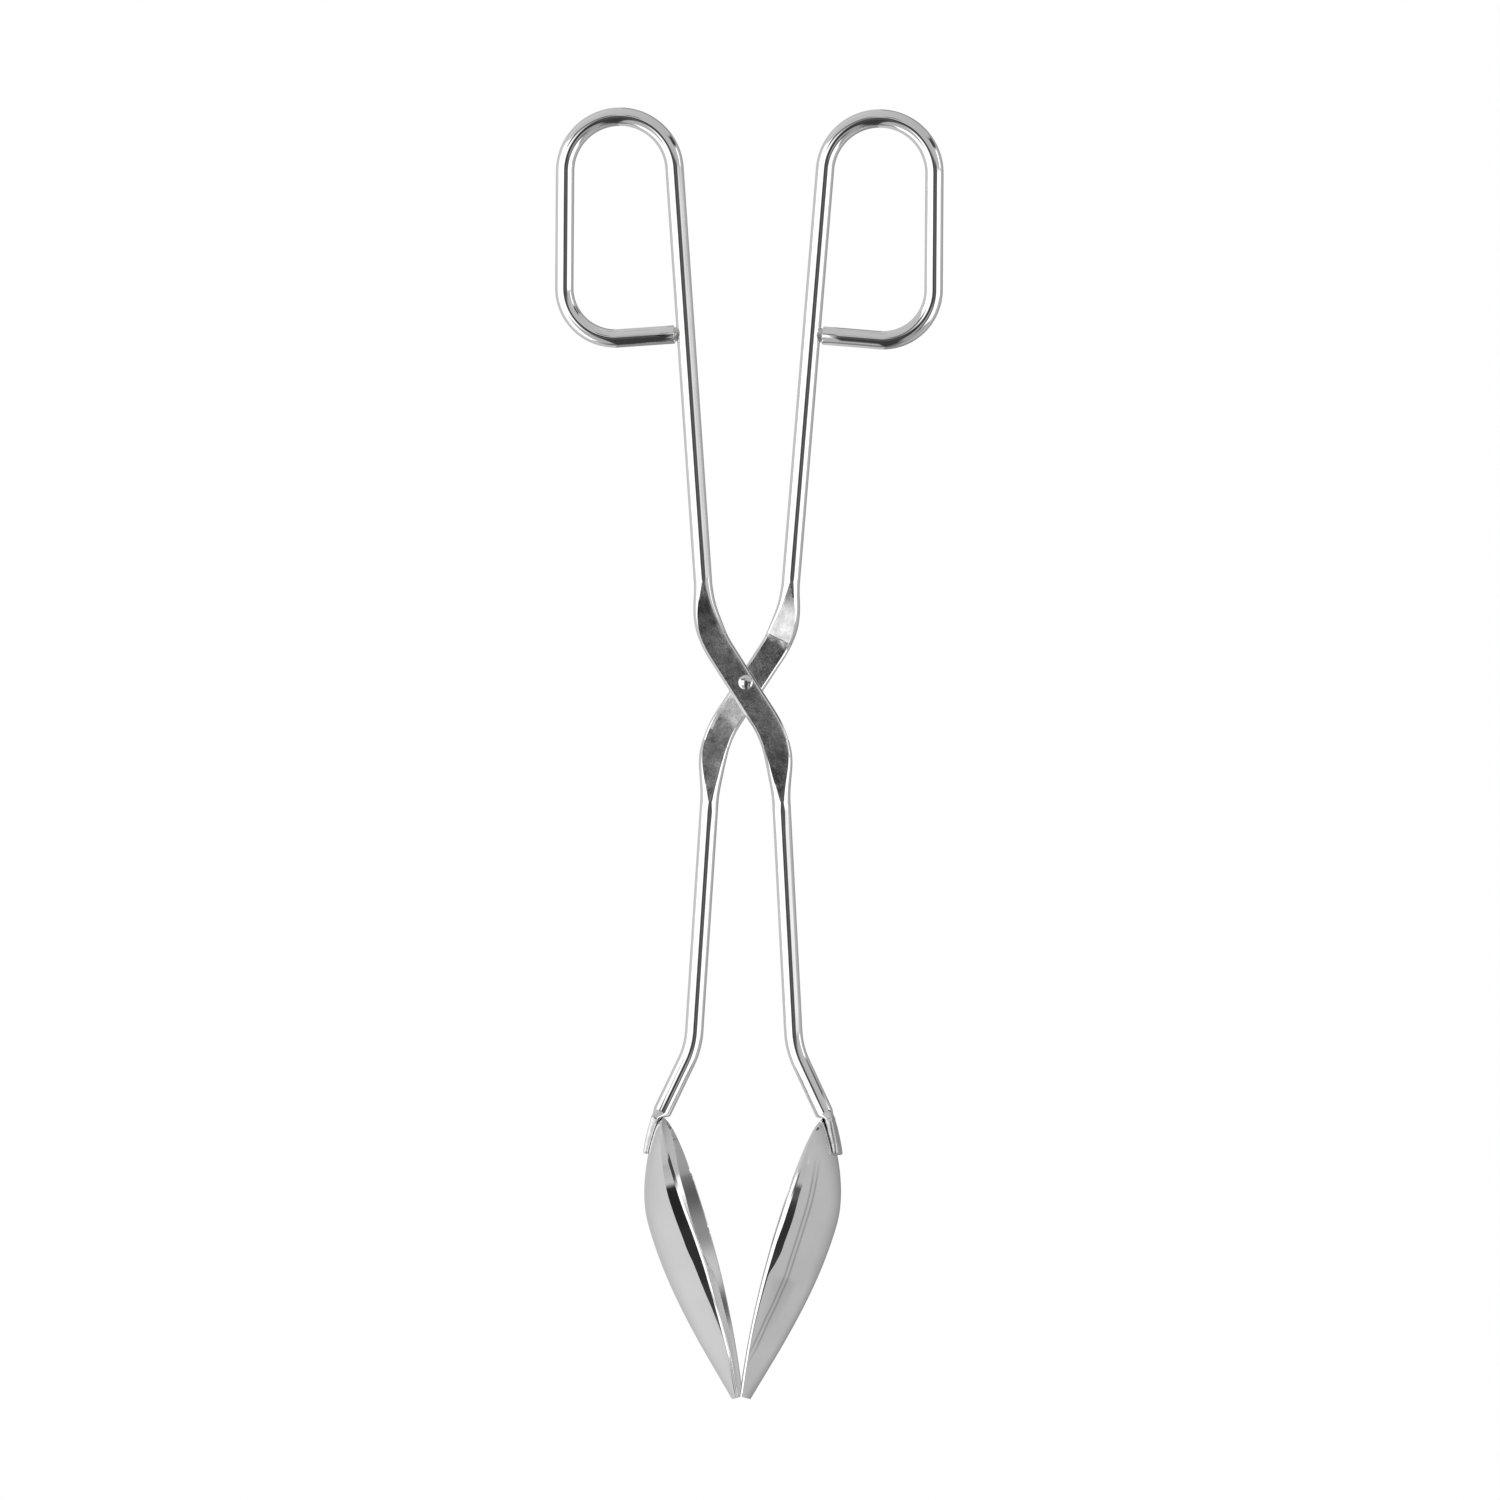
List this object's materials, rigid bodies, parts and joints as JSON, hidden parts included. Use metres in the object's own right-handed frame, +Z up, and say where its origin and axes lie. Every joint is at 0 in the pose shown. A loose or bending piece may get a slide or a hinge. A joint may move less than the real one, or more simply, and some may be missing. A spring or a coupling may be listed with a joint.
{
  "type": "spoon-jawed scissor tongs",
  "caption": "Long scissor tongs of bent steel wire with finger loops, a riveted crossing and hollow spoon jaws that close tip to tip.",
  "frame": {"origin": "bottom centre, between the two spoon tips that the closed tongs stand on", "axes": "+Z up through the rivet to the finger loops, +Y along the rivet from its small domed tail to its wider head, +X towards the front half's spoon"},
  "size_m": [0.0842, 0.024, 0.2798],
  "materials": {
    "polished_steel": "bright polished stainless steel",
    "satin_steel": "satin polished stainless steel",
    "weld_metal": "dull weld metal"
  },
  "bodies": {
    "back_half": {"back_arm": "polished_steel", "back_spoon": "satin_steel", "back_loop_weld": "weld_metal", "back_spot_weld_upper": "weld_metal", "back_spot_weld_lower": "weld_metal", "pivot_rivet": "polished_steel"},
    "front_half": {"front_arm": "polished_steel", "front_spoon": "satin_steel", "front_loop_weld": "weld_metal", "front_spot_weld_upper": "weld_metal", "front_spot_weld_lower": "weld_metal"}
  },
  "joints": [
    {"name": "rivet_hinge", "type": "hinge", "parent": "back_half", "child": "front_half", "pos_m": [0, 0, 0.15541], "axis": [0, -1, 0], "range_deg": [0, 88]}
  ]
}
